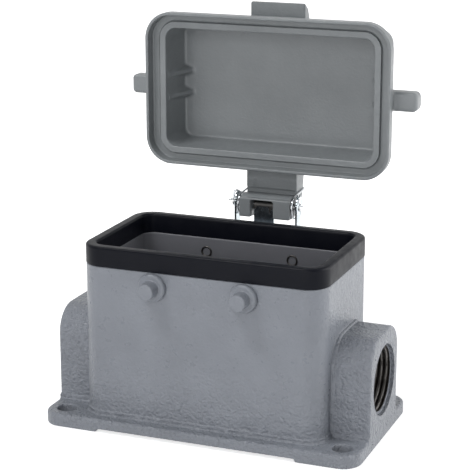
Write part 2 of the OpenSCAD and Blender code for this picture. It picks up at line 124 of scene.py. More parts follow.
def skinned(field, low, high, step):  # points and quads on the field's zero surface
    axes = [np.arange(a, b + step, step, dtype=np.float32) for a, b in zip(low, high)]
    x, y, z = np.meshgrid(*axes, indexing="ij", sparse=True)
    d = np.broadcast_to(field(x, y, z), [len(a) for a in axes]).astype(np.float32)
    solid = d < 0
    cells = [len(a) - 1 for a in axes]
    total, count = np.zeros((*cells, 3), np.float32), np.zeros(cells, np.uint8)
    rings = []
    for k in range(3):
        a, b = [slice(None)] * 3, [slice(None)] * 3
        a[k], b[k] = slice(0, -1), slice(1, None)
        at = np.argwhere(solid[tuple(a)] != solid[tuple(b)])
        inner = np.ones(len(at), bool)
        for j in range(3):
            if j != k:
                inner &= (at[:, j] > 0) & (at[:, j] < cells[j])
        at = at[inner]
        to = at.copy()
        to[:, k] += 1
        d0, d1 = d[tuple(at.T)], d[tuple(to.T)]
        p = np.stack([axes[j][at[:, j]] for j in range(3)], 1)
        p[:, k] += step * d0 / (d0 - d1)
        i, j = (k + 1) % 3, (k + 2) % 3
        ring = []
        for di, dj in ((-1, -1), (0, -1), (0, 0), (-1, 0)):
            c = at.copy()
            c[:, i] += di
            c[:, j] += dj
            flat = np.ravel_multi_index(c.T, cells)
            for m in range(3):
                share = np.bincount(flat, p[:, m], count.size).astype(np.float32)
                total[..., m].reshape(-1)[:] += share
            count.reshape(-1)[:] += np.bincount(flat, minlength=count.size).astype(np.uint8)
            ring.append(flat)
        ring = np.stack(ring, 1)
        ring[d0 > 0] = ring[d0 > 0][:, ::-1]
        rings.append(ring)
    used = np.flatnonzero(count.reshape(-1))
    points = total.reshape(-1, 3)[used].astype(np.float64) / count.reshape(-1)[used][:, None]
    index = np.full(count.size, -1)
    index[used] = np.arange(len(used))
    return points, index[np.concatenate(rings)]


def settle(field, points, quads, rounds, step):  # evens the mesh out and puts it on the surface
    start = points
    e = np.concatenate([quads[:, [a, b]] for a, b in ((0, 1), (1, 2), (2, 3), (3, 0))])
    e = np.concatenate([e, e[:, ::-1]])
    n = len(points)
    near = np.bincount(e[:, 0], minlength=n)[:, None]
    for turn in range(rounds + 2):
        if turn < rounds:
            mean = np.stack([np.bincount(e[:, 0], points[e[:, 1], k], n) for k in range(3)], 1) / near
            points = points + 0.5 * (mean - points)
        g = slope(field, points)
        size = np.maximum((g * g).sum(1), 0.05)
        move = -(field(*points.T) / size)[:, None] * g
        length = np.linalg.norm(move, axis=1)[:, None]
        points = points + move * np.minimum(1, 0.6 * step / np.maximum(length, 1e-9))
        points = np.clip(points, start - step, start + step)
    return points


def cast(name, field, low, high, step, keep=1.0, rounds=4, place=None, turn=None):
    points, quads = skinned(field, low, high, step)
    points = settle(field, points, quads, rounds, step)
    mesh = bpy.data.meshes.new(name)
    mesh.vertices.add(len(points))
    mesh.vertices.foreach_set("co", points.astype(np.float32).ravel())
    mesh.loops.add(quads.size)
    mesh.loops.foreach_set("vertex_index", quads.ravel().astype(np.int32))
    mesh.polygons.add(len(quads))
    mesh.polygons.foreach_set("loop_start", np.arange(0, quads.size, 4, dtype=np.int32))
    mesh.update(calc_edges=True)
    obj = bpy.data.objects.new(name, mesh)
    scene.collection.objects.link(obj)
    if keep < 1:
        thin = obj.modifiers.new("thin", "DECIMATE")
        thin.ratio = keep
        shown = obj.evaluated_get(bpy.context.evaluated_depsgraph_get())
        applied = bpy.data.meshes.new_from_object(shown)
        obj.modifiers.clear()
        obj.data = applied
        bpy.data.meshes.remove(mesh)
        mesh = applied
        mesh.name = name
    co = np.empty(len(mesh.vertices) * 3, np.float32)
    mesh.vertices.foreach_get("co", co)
    p = co.reshape(-1, 3).astype(np.float64)
    for _ in range(3):
        g = slope(field, p)
        p = p - g * np.clip(field(*p.T) / np.maximum((g * g).sum(1), 0.25), -0.2, 0.2)[:, None]
    g = slope(field, p)
    g /= np.maximum(np.linalg.norm(g, axis=1), 1e-6)[:, None]
    if place is not None:
        p, g = place(p), turn(g)
    mesh.vertices.foreach_set("co", (p * mm).astype(np.float32).ravel())
    mesh.polygons.foreach_set("use_smooth", np.ones(len(mesh.polygons), bool))
    mesh.update()
    mesh.normals_split_custom_set_from_vertices(g.astype(np.float32))
    print(name, len(mesh.polygons), "faces")
    return obj


# plain mesh builders, in mm

def meshed(name, points, faces, sharp=35):
    mesh = bpy.data.meshes.new(name)
    mesh.from_pydata([[c * mm for c in p] for p in points], [], faces)
    mesh.update()
    obj = bpy.data.objects.new(name, mesh)
    scene.collection.objects.link(obj)
    bm = bmesh.new()
    bm.from_mesh(mesh)
    bmesh.ops.recalc_face_normals(bm, faces=bm.faces)
    bm.to_mesh(mesh)
    bm.free()
    mesh.polygons.foreach_set("use_smooth", np.ones(len(mesh.polygons), bool))
    mesh.set_sharp_from_angle(angle=math.radians(sharp))
    return obj


def corner(c, r, a0, a1, steps=5):  # points along a round corner of a section
    return [(c[0] + r * math.cos(math.radians(a0 + (a1 - a0) * i / steps)),
             c[1] + r * math.sin(math.radians(a0 + (a1 - a0) * i / steps))) for i in range(steps + 1)]


def turned(name, section, place, steps=56):  # section of (radius, along), spun and set by place
    points, faces = [], []
    n = len(section)
    for i in range(steps):
        a = 2 * math.pi * i / steps
        points += [place(r * math.cos(a), r * math.sin(a), h) for r, h in section]
    for i in range(steps):
        j = (i + 1) % steps
        for k in range(n - 1):
            faces.append((i * n + k, j * n + k, j * n + k + 1, i * n + k + 1))
    faces.append([i * n for i in range(steps)][::-1])
    faces.append([i * n + n - 1 for i in range(steps)])
    return meshed(name, points, faces)


def drawn(name, path, r, sides=12):  # a round wire along a path
    path = [Vector(p) for p in path]
    points, faces = [], []
    up = Vector((0.1, 0.2, 1)).normalized()
    for i, p in enumerate(path):
        d = (path[min(i + 1, len(path) - 1)] - path[max(i - 1, 0)]).normalized()
        up = (up - d * up.dot(d)).normalized()
        side = d.cross(up)
        for k in range(sides):
            a = 2 * math.pi * k / sides
            points.append(p + r * (math.cos(a) * up + math.sin(a) * side))
    for i in range(len(path) - 1):
        for k in range(sides):
            m = (k + 1) % sides
            faces.append((i * sides + k, i * sides + m, (i + 1) * sides + m, (i + 1) * sides + k))
    faces.append(list(range(sides))[::-1])
    faces.append([(len(path) - 1) * sides + k for k in range(sides)])
    return meshed(name, points, faces)


def chased(path, times=3):  # cuts a path's corners until it runs smoothly
    path = [Vector(p) for p in path]
    for _ in range(times):
        new = [path[0]]
        for a, b in zip(path, path[1:]):
            new += [a * 0.75 + b * 0.25, a * 0.25 + b * 0.75]
        path = new + [path[-1]]
    return path


# finishes

def finish(name, colour, rough, metal=0.0, specular=0.5):
    m = bpy.data.materials.new(name)
    m.use_nodes = True
    t = m.node_tree
    t.nodes.clear()
    out = t.nodes.new("ShaderNodeOutputMaterial")
    s = t.nodes.new("ShaderNodeBsdfPrincipled")
    t.links.new(s.outputs[0], out.inputs[0])
    s.inputs["Base Color"].default_value = (*colour, 1)
    s.inputs["Roughness"].default_value = rough
    s.inputs["Metallic"].default_value = metal
    s.inputs["Specular IOR Level"].default_value = specular
    return m, t, s


def noise(t, scale, detail=3.0, rough=0.5, stretch=None):  # features of 1/scale mm
    tex = t.nodes.new("ShaderNodeTexNoise")
    tex.inputs["Scale"].default_value = scale / mm
    tex.inputs["Detail"].default_value = detail
    tex.inputs["Roughness"].default_value = rough
    where = t.nodes.new("ShaderNodeTexCoord")
    if stretch:
        mapping = t.nodes.new("ShaderNodeMapping")
        mapping.inputs["Scale"].default_value = stretch
        t.links.new(where.outputs["Object"], mapping.inputs[0])
        t.links.new(mapping.outputs[0], tex.inputs["Vector"])
    else:
        t.links.new(where.outputs["Object"], tex.inputs["Vector"])
    return tex.outputs["Fac"]


def ramp(t, fac, low, high, a, b):  # spreads fac between low and high over values a to b
    m = t.nodes.new("ShaderNodeMapRange")
    m.inputs["From Min"].default_value, m.inputs["From Max"].default_value = low, high
    m.inputs["To Min"].default_value, m.inputs["To Max"].default_value = a, b
    t.links.new(fac, m.inputs["Value"])
    return m.outputs[0]


def blendColour(t, fac, a, b):
    m = t.nodes.new("ShaderNodeMix")
    m.data_type = "RGBA"
    m.inputs["A"].default_value, m.inputs["B"].default_value = (*a, 1), (*b, 1)
    t.links.new(fac, m.inputs["Factor"])
    return m.outputs["Result"]


def bump(t, s, layers, amount=None):  # layers of (fac, height in mm)
    last = None
    for fac, height in layers:
        b = t.nodes.new("ShaderNodeBump")
        b.inputs["Strength"].default_value = 1.0
        if amount:
            t.links.new(amount, b.inputs["Strength"])
        b.inputs["Distance"].default_value = height * mm
        t.links.new(fac, b.inputs["Height"])
        if last is not None:
            t.links.new(last, b.inputs["Normal"])
        last = b.outputs[0]
    t.links.new(last, s.inputs["Normal"])


def combined(t, operation, a, b=None):
    m = t.nodes.new("ShaderNodeMath")
    m.operation = operation
    t.links.new(a, m.inputs[0])
    if b:
        t.links.new(b, m.inputs[1])
    return m.outputs[0]


texture = dict(open=0.24, footLow=0.003, footHigh=0.026, wallEnd=0.0362, bossStart=0.0375)


def lowAndOuter(t):  # 1 at the foot and on the entry bosses, less on the open walls
    k = texture
    where, parts = t.nodes.new("ShaderNodeTexCoord"), t.nodes.new("ShaderNodeSeparateXYZ")
    t.links.new(where.outputs["Object"], parts.inputs[0])
    foot = ramp(t, parts.outputs["Z"], k["footLow"], k["footHigh"], 1.0, k["open"])
    outward = combined(t, "ABSOLUTE", parts.outputs["X"])
    boss = ramp(t, outward, k["wallEnd"], k["bossStart"], k["open"], 1.0)
    return combined(t, "MAXIMUM", foot, boss)


def varied(t, s, colour, rough, dark, light, patch, cloud):  # uneven colour and gloss
    shades = [c * dark for c in colour], [min(1, c * light) for c in colour]
    t.links.new(blendColour(t, ramp(t, noise(t, *patch), 0.3, 0.7, 0, 1), *shades), s.inputs["Base Color"])
    t.links.new(ramp(t, noise(t, *cloud), 0.3, 0.7, rough - 0.05, rough + 0.07), s.inputs["Roughness"])


def paintFinish(name, colour, peel, fine, rough, uneven=False):
    m, t, s = finish(name, colour, rough)
    varied(t, s, colour, rough, 0.93, 1.05, (0.09, 4), (0.5, 3))
    layers = [(noise(t, 1.25, 2), peel), (noise(t, 0.45, 1), peel * 0.6), (noise(t, 3.0, 2), fine)]
    bump(t, s, layers, lowAndOuter(t) if uneven else None)
    return m


def rubberFinish(name):
    m, t, s = finish(name, (0.0030, 0.0037, 0.0074), 0.36, specular=0.13)
    t.links.new(ramp(t, noise(t, 0.35, 4), 0.3, 0.7, 0.34, 0.46), s.inputs["Roughness"])
    bump(t, s, [(noise(t, 2.5, 3), 0.012), (noise(t, 0.12, 2), 0.10)])
    return m


def platedFinish(name, colour, rough, grain):
    m, t, s = finish(name, colour, rough, metal=1.0)
    varied(t, s, colour, rough, 0.85, 1.08, (0.5, 4), (1.2, 3))
    bump(t, s, [(noise(t, 0.8, 2, 0.5, grain), 0.006)])
    return m


look = dict(
    housing=paintFinish("housing_paint", (0.222, 0.238, 0.270), 0.75, 0.06, 0.31, uneven=True),
    cover=paintFinish("cover_paint", (0.226, 0.242, 0.252), 0.08, 0.02, 0.33),
    # darker inside coat: partly a thinner, smoother coat inside the casting, partly painted shade for the light that
    # doesn't reach into the room
    inside=paintFinish("housing_inside_coat_and_shade", (0.160, 0.163, 0.180), 0.04, 0.02, 0.36),
    peg=paintFinish("peg_paint", (0.220, 0.236, 0.268), 0.15, 0.04, 0.32),
    rubber=rubberFinish("seal_rubber"),
    sheet=platedFinish("zinc_sheet", (0.58, 0.64, 0.67), 0.16, (1, 1, 0.15)),
    steel=platedFinish("zinc_steel", (0.58, 0.59, 0.60), 0.25, (0.2, 1, 1)),
    wire=platedFinish("spring_wire", (0.62, 0.64, 0.66), 0.12, (1, 1, 1)),
    # near-black steel: painted shade for dark dimples and recesses, not wear
    shadeSteel=platedFinish("steel_painted_shade", (0.085, 0.082, 0.08), 0.4, (0.3, 1, 1)),
    thread=platedFinish("cut_thread", (0.17, 0.162, 0.155), 0.48, (0.1, 1, 1)),
    # darker metal for the thread grooves: painted shade in the recesses
    threadGrooveShade=platedFinish("thread_groove_painted_shade", (0.06, 0.055, 0.052), 0.55, (0.1, 1, 1)),
)


def dress(obj, finishName, node=None, body="housing"):
    obj.data.materials.clear()
    obj.data.materials.append(look[finishName])
    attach(obj, body)
    if node:
        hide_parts(*([node] if isinstance(node, str) else node))
    return obj


def recoat(obj, finishName, where):  # gives another finish to the faces whose middle is in a region, in mm
    mesh = obj.data
    mesh.materials.append(look[finishName])
    middle = np.empty(len(mesh.polygons) * 3, np.float32)
    mesh.polygons.foreach_get("center", middle)
    chosen = where(*(middle.reshape(-1, 3).T / mm))
    index = np.empty(len(mesh.polygons), np.int32)
    mesh.polygons.foreach_get("material_index", index)
    index[chosen] = len(mesh.materials) - 1
    mesh.polygons.foreach_set("material_index", index)
    mesh.update()


print("finishes made")


# housing

housing = dict(
    halfL=36.4, halfW=21.4, r=6.4, shoulder=48.3, floor=4.4, innerL=33.1, innerW=18.1, innerR=3.1,
    baseL=47.75, baseW=25.7, baseR=5.6, baseT=3.9, baseEdge=0.9, footX=30.35, footH=1.0,
    holeX=42.0, holeY=20.0, holeR=2.8, root=0.6,
    bossW=13.2, bossTop=31.8, bossR=8.0, bossEdge=0.9, ledge=0.4, ledgeTop=5.3, collar=1.0,
    entryZ=17.7, entryR=10.1, pillarX=24.2, pillarY=10.2, pillarR=1.0, pillarIn=1.5, pillarOuterR=4.0,
    seat=34.0, screwX=28.5, screwY=13.5, screwR=1.65, screwD=12, archH=30, reliefLean=0.6, reliefScale=0.85,
    shoulderEdge=0.15, bossRoot=0.35, plinthEdge=0.35, collarEdge=0.3, roomEdge=0.8, rimEdge=0.3, seatEdge=0.4,
    pillarRoot=0.8, undersideEdge=0.3, boreEdge=0.12, reliefEdge=0.25, holeEdge=0.35, screwEdge=0.25,
)


def housingField(x, y, z):
    h = housing
    ax, ay = np.abs(x), np.abs(y)
    base = eased(oblong(x, y, h["baseL"], h["baseW"], h["baseR"]), z - h["baseT"], h["baseEdge"])
    body = oblong(x, y, h["halfL"], h["halfW"], h["r"]) + 0 * z
    arch = oblong(y, z - (h["bossTop"] - h["archH"]), h["bossW"], h["archH"], h["bossR"])
    boss = eased(arch, ax - h["baseL"], h["bossEdge"])
    d = fillet(eased(body, z - h["shoulder"], h["shoulderEdge"]), boss, h["bossRoot"])
    plinth = np.minimum(body, np.maximum(arch, ax - h["baseL"])) - h["ledge"]
    plinth = eased(plinth, z - h["ledgeTop"], h["plinthEdge"])
    collar = eased(arch - h["ledge"], ax - h["halfL"] - h["collar"], h["collarEdge"])
    d = np.minimum(d, np.minimum(collar, plinth))
    d = np.maximum(fillet(d, base, h["root"]), ax - h["baseL"])
    room = eased(oblong(x, y, h["innerL"], h["innerW"], h["innerR"]), h["floor"] - z, h["roomEdge"])
    d = cut(d, room, h["rimEdge"])
    pillar = eased(h["pillarX"] - ax, h["pillarY"] - ay, h["pillarR"])
    pillar = eased(pillar, z - h["seat"], h["seatEdge"])
    within = oblong(x, y, h["halfL"] - h["pillarIn"], h["halfW"] - h["pillarIn"], h["pillarOuterR"])
    d = fillet(d, np.maximum(pillar, within), h["pillarRoot"])
    d = eased(d, -z, h["undersideEdge"])
    bore = np.maximum(np.hypot(y, z - h["entryZ"]) - h["entryR"], h["innerL"] - 2 - ax)
    d = cut(d, bore, h["boreEdge"])
    relief = np.maximum((ax - h["footX"] + z * h["reliefLean"]) * h["reliefScale"], z - h["footH"])
    d = cut(d, relief, h["reliefEdge"])
    hole = np.hypot(ax - h["holeX"], ay - h["holeY"]) - h["holeR"]
    d = cut(d, hole, h["holeEdge"])
    screw = np.hypot(ax - h["screwX"], ay - h["screwY"]) - h["screwR"]
    return cut(d, np.maximum(screw, h["seat"] - h["screwD"] - z), h["screwEdge"])


casting = cast("housing_casting", housingField, (-48.8, -26.8, -1.0), (48.8, 26.8, 49.4), 0.44, keep=0.5)
dress(casting, "housing", node="housing")
# the room's walls and floor take the darker inside coat, which is partly painted shade
recoat(casting, "inside", lambda x, y, z: (abs(x) < 33.9) & (abs(y) < 18.9) & (z > 4.2))


# the cut thread of each entry, as a sleeve set in its bore
entry = dict(pitch=1.5, crest=9.2, groove=9.95, back=10.35, mouth=10.15, lead=1.0, inner=33.3, perTurn=10,
             steps=120, flank=1.7, flat=0.6, backStart=0.35, rootUnder=0.1)


def threadSleeve(name, side):
    e = entry
    length = housing["baseL"] - e["inner"]
    rows = int(length / e["pitch"] * e["perTurn"])
    points, faces = [], []
    for i in range(e["steps"]):
        a = 2 * math.pi * i / e["steps"]
        for k in range(rows + 1):
            s = length * k / rows  # depth from the mouth
            wave = abs(((s / e["pitch"] + i / e["steps"]) % 1) * 2 - 1)
            r = e["crest"] + (e["groove"] - e["crest"]) * min(1, max(0, wave * e["flank"] - e["flat"]))
            r = e["mouth"] if s < e["lead"] else r
            x = side * (housing["baseL"] - s)
            points.append((x, r * math.cos(a), housing["entryZ"] + r * math.sin(a)))
        for s in (length, e["backStart"]):
            x = side * (housing["baseL"] - s)
            points.append((x, e["back"] * math.cos(a), housing["entryZ"] + e["back"] * math.sin(a)))
    n = rows + 3
    for i in range(e["steps"]):
        j = (i + 1) % e["steps"]
        for k in range(n):
            m = (k + 1) % n
            faces.append((i * n + k, j * n + k, j * n + m, i * n + m))
    obj = dress(meshed(name, points, faces, sharp=50), "thread")
    middle = (e["crest"] + e["groove"]) / 2 - e["rootUnder"]
    # the groove bottoms get the darker metal: painted shade in the thread's recesses
    recoat(obj, "threadGrooveShade", lambda x, y, z: np.hypot(y, z - housing["entryZ"]) > middle)
    recoat(obj, "housing", lambda x, y, z: housing["baseL"] - abs(x) < e["lead"])
    return obj


threadSleeve("entry_thread_right", 1)
threadSleeve("entry_thread_left", -1)
print("housing made")


# seal

seal = dict(halfL=36.5, halfW=21.5, r=6.5, low=48.3, high=54.1, wide=3.2, edge=0.75)


def makeSeal():
    s = seal
    h, w, e = s["high"] - s["low"], s["wide"], s["edge"]
    section = corner((-0.25, 0.25), 0.25, -90, 0, 3) + [(0.0, 1.5), (0.0, h - 2.2)]
    section += corner((-e, h - e), e, 0, 90, 7) + corner((-w + e, h - e), e, 90, 180, 7)
    section += [(-w, 0.2), (-w + 0.2, 0.0)]
    points, faces = [], []
    stations = []
    for q, (sx, sy) in enumerate(((1, 1), (-1, 1), (-1, -1), (1, -1))):
        for i in range(13):
            a = math.radians(90 * q + 90 * i / 12)
            stations.append((sx * (s["halfL"] - s["r"]), sy * (s["halfW"] - s["r"]), math.cos(a), math.sin(a)))
    n = len(section)
    for cx, cy, ca, sa in stations:
        points += [(cx + (s["r"] + o) * ca, cy + (s["r"] + o) * sa, s["low"] + z) for o, z in section]
    for i in range(len(stations)):
        j = (i + 1) % len(stations)
        for k in range(n):
            m = (k + 1) % n
            faces.append((i * n + k, j * n + k, j * n + m, i * n + m))
    return dress(meshed("rim_seal_rubber", points, faces, sharp=40), "rubber", node="rim_seal")


makeSeal()
print("seal made")


# locking pegs

peg = dict(x=13.6, z=44.0, wall=21.4, inner=18.1, collarR=4.1, collarT=1.55, collarEdge=0.85,
           tipR=2.4, reach=5.6, shankR=1.75, dimple=1.2)


def makePeg(name, sx, sy):
    p = peg
    back = -(p["wall"] - p["inner"])
    section = [(0.001, back + 0.1), (0.3, back + 0.15), (0.42, back + 0.5), (p["dimple"] * 0.9, back + 0.5),
               (p["dimple"], back - 0.1)]
    section += corner((p["shankR"] - 0.25, back), 0.25, -90, 0, 3)
    section += [(p["shankR"], 0.0), (p["collarR"] - 0.05, 0.0), (p["collarR"], 0.1)]
    section += corner((p["collarR"] - p["collarEdge"], p["collarT"] - p["collarEdge"]), p["collarEdge"], 0, 90, 7)
    section += corner((p["tipR"] + 0.35, p["collarT"] + 0.35), 0.35, -90, -180, 4)
    section += corner((p["tipR"] - 0.35, p["reach"] - 0.35), 0.35, 0, 90, 5) + [(0.001, p["reach"])]

    def place(a, b, h):
        return (sx * p["x"] + a, sy * (p["wall"] + h), p["z"] + b)

    obj = dress(turned(name + "_turned", section, place), "peg", node=name)
    staked = p["inner"] + 0.4
    # the staked inner end gets near-black steel: painted shade in the dimple; the steel centre keeps its own bright
    # colour
    recoat(obj, "shadeSteel", lambda x, y, z: abs(y) < staked)
    recoat(obj, "steel", lambda x, y, z: (abs(y) < staked) & (np.hypot(abs(x) - p["x"], z - p["z"]) < 0.4))
    return obj


for nameX, sx in (("left", -1), ("right", 1)):
    for nameY, sy in (("front", -1), ("rear", 1)):
        makePeg("peg_" + nameY + "_" + nameX, sx, sy)
print("pegs made")


# cover, built shut and stood open

cover = dict(
    halfL=38.6, halfW=23.2, r=8.2, high=18.0, side=3.5, slopeRun=3.0, slopeRise=1.95, draft=0.9, topR=2.6,
    lip=0.95, channelD=3.55, press=1.95, pressUp=2.5,
    roomL=33.1, roomW=18.35, roomR=3.6, roomD=15.7, roomEdge=0.8, rimZ=51.9,
    flangeEdge=0.5, wallRoot=0.8, channelEdge=0.35, stepEdge=0.22, mouthEdge=0.35, rimEdge=0.25,
    earX=45.4, earW=2.9, earLow=4.6, earHigh=10.6, earTopR=2.2, earLowR=1.1, earEnd=1.5, earRoot=1.8, earFrom=34.0,
    tabW=8.5, tabRound=0.25, tabEdge=0.45, tabSwell=0.2, tabRoot=2.0,
    tab=[(-18.7, 11.1), (-26.3, 11.1), (-26.3, 12.0), (-24.7, 14.3), (-22.1, 15.6), (-18.7, 16.3)],
    ribY=3.4, ribT=0.55, ribFrom=5.4, ribRun=3.5, ribRise=10.3, ribFlare=0.36, ribEdge=0.3, ribLow=4.8, ribHigh=16.5,
    ribRoot=0.9,
    armW=8.1, armEdge=0.3, armRoot=1.4, blockR=3.45,
    block=[(-4.3, 2.7), (-4.3, -3.2), (-0.4, -3.45), (0.4, -3.45), (7.12, -0.6), (8.7, 3.3), (3.1, 2.97)],
    arm=[(3.15, 2.0), (3.15, 4.3), (2.8, 4.65), (2.8, 15.2), (10.0, 15.2), (9.5, 6.6), (8.6, 3.0)],
    notchX=-0.8, notchW=3.65, notchR=2.11, notchCorner=0.6, notchEdge=0.2, pinR=1.06, pinReach=9.0, pinEdge=0.12,
)


def coverField(x, y, z):
    c = cover
    ax = np.abs(x)
    rim = oblong(x, y, c["halfL"], c["halfW"], c["r"]) + 0 * z
    lean = c["slopeRun"] / c["slopeRise"]
    size = math.hypot(1, lean)
    flange = eased(rim, (rim + (z - c["side"]) * lean) / size, c["flangeEdge"])
    up = c["side"] + c["slopeRise"]
    inset = c["slopeRun"] + c["draft"] * (z - up) / (c["high"] - up)
    run = c["slopeRun"]
    wall = oblong(x, y, c["halfL"] - run, c["halfW"] - run, c["r"] - run) + (inset - run)
    shell = fillet(eased(wall, z - c["high"], c["topR"]), flange, c["wallRoot"])

    low, high = c["earLow"], c["earHigh"]
    mid, half = (low + high) / 2, (high - low) / 2
    earR = np.where(z > mid, c["earTopR"], c["earLowR"])
    ear = oblong(y, z - mid, c["earW"], half, earR)
    ear = eased(np.maximum(ear, c["earFrom"] - ax), ax - c["earX"], c["earEnd"])
    shell = fillet(shell, ear, c["earRoot"])

    tab = eased(outline(y, z, c["tab"]) + c["tabRound"], ax - c["tabW"], c["tabEdge"])
    shell = fillet(shell, tab - c["tabSwell"], c["tabRoot"])

    u, v = z + c["rimZ"] - hingeZ, hingeY - y
    block = np.minimum(outline(u, v, c["block"]), np.hypot(u, v) - c["blockR"])
    arm = fillet(block, outline(u, v, c["arm"]), c["armEdge"])
    arm = eased(arm, ax - c["armW"], c["armEdge"])
    shell = np.maximum(fillet(shell, arm, c["armRoot"]), z - c["high"])

    inner = oblong(x, y, c["roomL"] + c["press"], c["roomW"] + c["press"], c["roomR"] + c["press"]) + 0 * z
    outer = rim + c["lip"]
    channel = eased(np.maximum(outer, -inner), z - c["channelD"], c["channelEdge"])
    step = np.maximum(inner, z - c["pressUp"])
    inset = c["draft"] * z / c["roomD"]
    room = oblong(x, y, c["roomL"], c["roomW"], c["roomR"]) + inset
    room = eased(room, z - c["roomD"], c["roomEdge"])
    d = cut(shell, np.minimum(channel, step), c["stepEdge"])
    d = cut(d, room, c["mouthEdge"])

    face = c["roomL"] - 0.3 - c["ribRun"] * np.clip((z - c["ribFrom"]) / c["ribRise"], 0, 2)
    side = (np.abs(np.abs(y) - c["ribY"]) - c["ribT"] - c["ribFlare"] * (ax - face)) * 0.93
    rib = eased(side, (face - ax) * 0.95, c["ribEdge"])
    rib = np.maximum(np.maximum(rib, ax - c["earFrom"]), np.maximum(z - c["ribHigh"], c["ribLow"] - z))
    d = fillet(d, rib, c["ribRoot"])
    d = eased(d, -z, c["rimEdge"])

    below = np.maximum(np.abs(u + 1.5) - 3.61, v) + 0 * x  # the way for the tongue
    beside = np.maximum(np.abs(u + 2.6) - 2.6, np.abs(v - 0.55) - 1.56)
    notch = np.minimum(np.minimum(below, beside), np.hypot(u, v) - c["notchR"])
    notch = eased(notch, np.abs(x - c["notchX"]) - c["notchW"], c["notchCorner"])
    d = cut(d, notch, c["notchEdge"])
    return cut(d, np.maximum(np.hypot(u, v) - c["pinR"], ax - c["pinReach"]), c["pinEdge"])


def standOpen(p):  # the shut cover's (x, y, height over its rim) to where it stands
    return np.stack([p[:, 0], hingeY + p[:, 2] + cover["rimZ"] - hingeZ, hingeZ + hingeY - p[:, 1]], 1)


def standOpenNormal(g):
    return np.stack([g[:, 0], g[:, 2], -g[:, 1]], 1)


lid = cast("cover_casting", coverField, (-46.4, -27.4, -0.9), (46.4, 38.9, 18.9), 0.36, keep=0.6,
           place=standOpen, turn=standOpenNormal)
dress(lid, "cover", node="cover", body="cover")
print("cover made")


# hinge

hinge = dict(
    sheet=0.7, edge=0.15, cheekIn=9.45, cheekOut=10.15, plateLow=26.0, plateMid=32.0, plateHalf=6.0, plateR=0.6,
    tongueX=-0.8, tongueW=3.25, eye=1.76, bore=1.06, rivetX=5.5, rivetZ=32.0, rivetR=1.5, rivetHeadR=2.7,
    pinR=1.0, pinLeft=-11.4, pinRight=10.15,
)


def bracketField(x, y, z):
    h = hinge
    ax = np.abs(x)
    wallY = housing["halfW"]
    cheek = outline(y, z, [(wallY, 26.0), (wallY + 2.2, 26.0), (hingeY + 1.4, hingeZ - 7), (hingeY + 1.4, hingeZ),
                           (hingeY + 1.4, hingeZ + 1), (hingeY - 2.4, hingeZ + 1), (hingeY - 2.4, hingeZ - 5),
                           (wallY + 1.4, 38.0), (wallY, 38.0)])
    lug = oblong(y - (hingeY + 0.1), z - (hingeZ + 1.1), 2.5, 2.5, 2.49)
    cheek = fillet(cheek, lug, 0.8)
    half = h["sheet"] / 2
    cheek = eased(cheek, np.abs(ax - (h["cheekIn"] + h["cheekOut"]) / 2) - half, h["edge"])
    plate = oblong(x, z - h["plateMid"], h["cheekOut"], h["plateHalf"], h["plateR"])
    plate = eased(plate, np.abs(y - wallY - half) - half, h["edge"])
    d = np.maximum(fillet(cheek, plate, 0.6), np.maximum(ax - h["cheekOut"], np.maximum(wallY - y, h["plateLow"] - z)))
    ty = hingeY - h["eye"]
    tongue = outline(y, z, [(wallY, 36.0), (wallY + 0.7, 36.0), (wallY + 0.7, 38.0), (ty + 0.7, hingeZ - 6.4),
                            (ty + 0.7, hingeZ), (ty, hingeZ), (ty, hingeZ - 6), (wallY, 38.6)])
    tongue = np.minimum(tongue, np.hypot(y - hingeY, z - hingeZ) - h["eye"])
    tongue = eased(tongue, np.abs(x - h["tongueX"]) - h["tongueW"], h["edge"])
    d = fillet(d, tongue, 0.3)
    seam = np.abs(y - hingeY - 0.2 - 0.35 * (hingeZ - z)) - 0.12  # where the rolled sheet ends
    seam = np.maximum(seam, np.maximum(z - hingeZ, hingeZ - 3 - z))
    d = cut(d, np.maximum(seam, hingeY - 0.9 - y), 0.05)
    return cut(d, np.maximum(np.hypot(y - hingeY, z - hingeZ) - h["bore"], 0 * x), 0.08)


bracket = cast("hinge_bracket_pressing", bracketField, (-10.9, 20.8, 25.4), (10.9, 38.0, 60.2), 0.22,
               keep=0.45, rounds=3)
dress(bracket, "sheet", node="hinge_bracket")
# the tongue's rolled eye inside the block's notch gets near-black steel: painted shade that also dims its highlight
recoat(bracket, "shadeSteel", lambda x, y, z: (abs(x) < 5) & (np.hypot(y - hingeY, z - hingeZ) < 1.95))


def makePin():
    h = hinge
    r, a, b = h["pinR"], h["pinLeft"], h["pinRight"] + 0.35
    section = [(0.001, a), (r * 0.7, a + 0.02)] + corner((r - 0.2, a + 0.22), 0.2, -90, 0, 4)
    section += corner((r - 0.2, b - 0.22), 0.2, 0, 90, 4) + [(0.001, b)]
    obj = turned("hinge_pin_steel", section, lambda p, q, s: (s, hingeY + p, hingeZ + q), 40)
    return dress(obj, "steel", node="hinge_pin")


makePin()


def makeRivet(name, side):
    h = hinge
    out, back = housing["halfW"] + h["sheet"], housing["innerW"]
    section = [(0.001, back - 0.45), (0.5, back - 0.5)] + corner((1.75, back - 0.45), 0.35, -90, 0, 4)
    headR = h["rivetHeadR"]
    section += [(h["rivetR"] * 1.4, back), (h["rivetR"], back + 0.1), (h["rivetR"], out)]
    section += [(headR, out), (headR, out + 0.15)]
    section += [(headR * math.cos(a), out + 0.15 + math.sin(a)) for a in np.linspace(0.15, 1.5, 9)]
    section += [(0.001, out + 1.15)]
    obj = turned(name + "_steel", section, lambda p, q, s: (side * h["rivetX"] + p, s, h["rivetZ"] + q), 40)
    return dress(obj, "steel", node=name)


makeRivet("bracket_rivet_left", -1)
makeRivet("bracket_rivet_right", 1)


spring = dict(wire=0.3, r=3.3, outer=9.09, inner=8.46, lug=3.6, back=9.35)


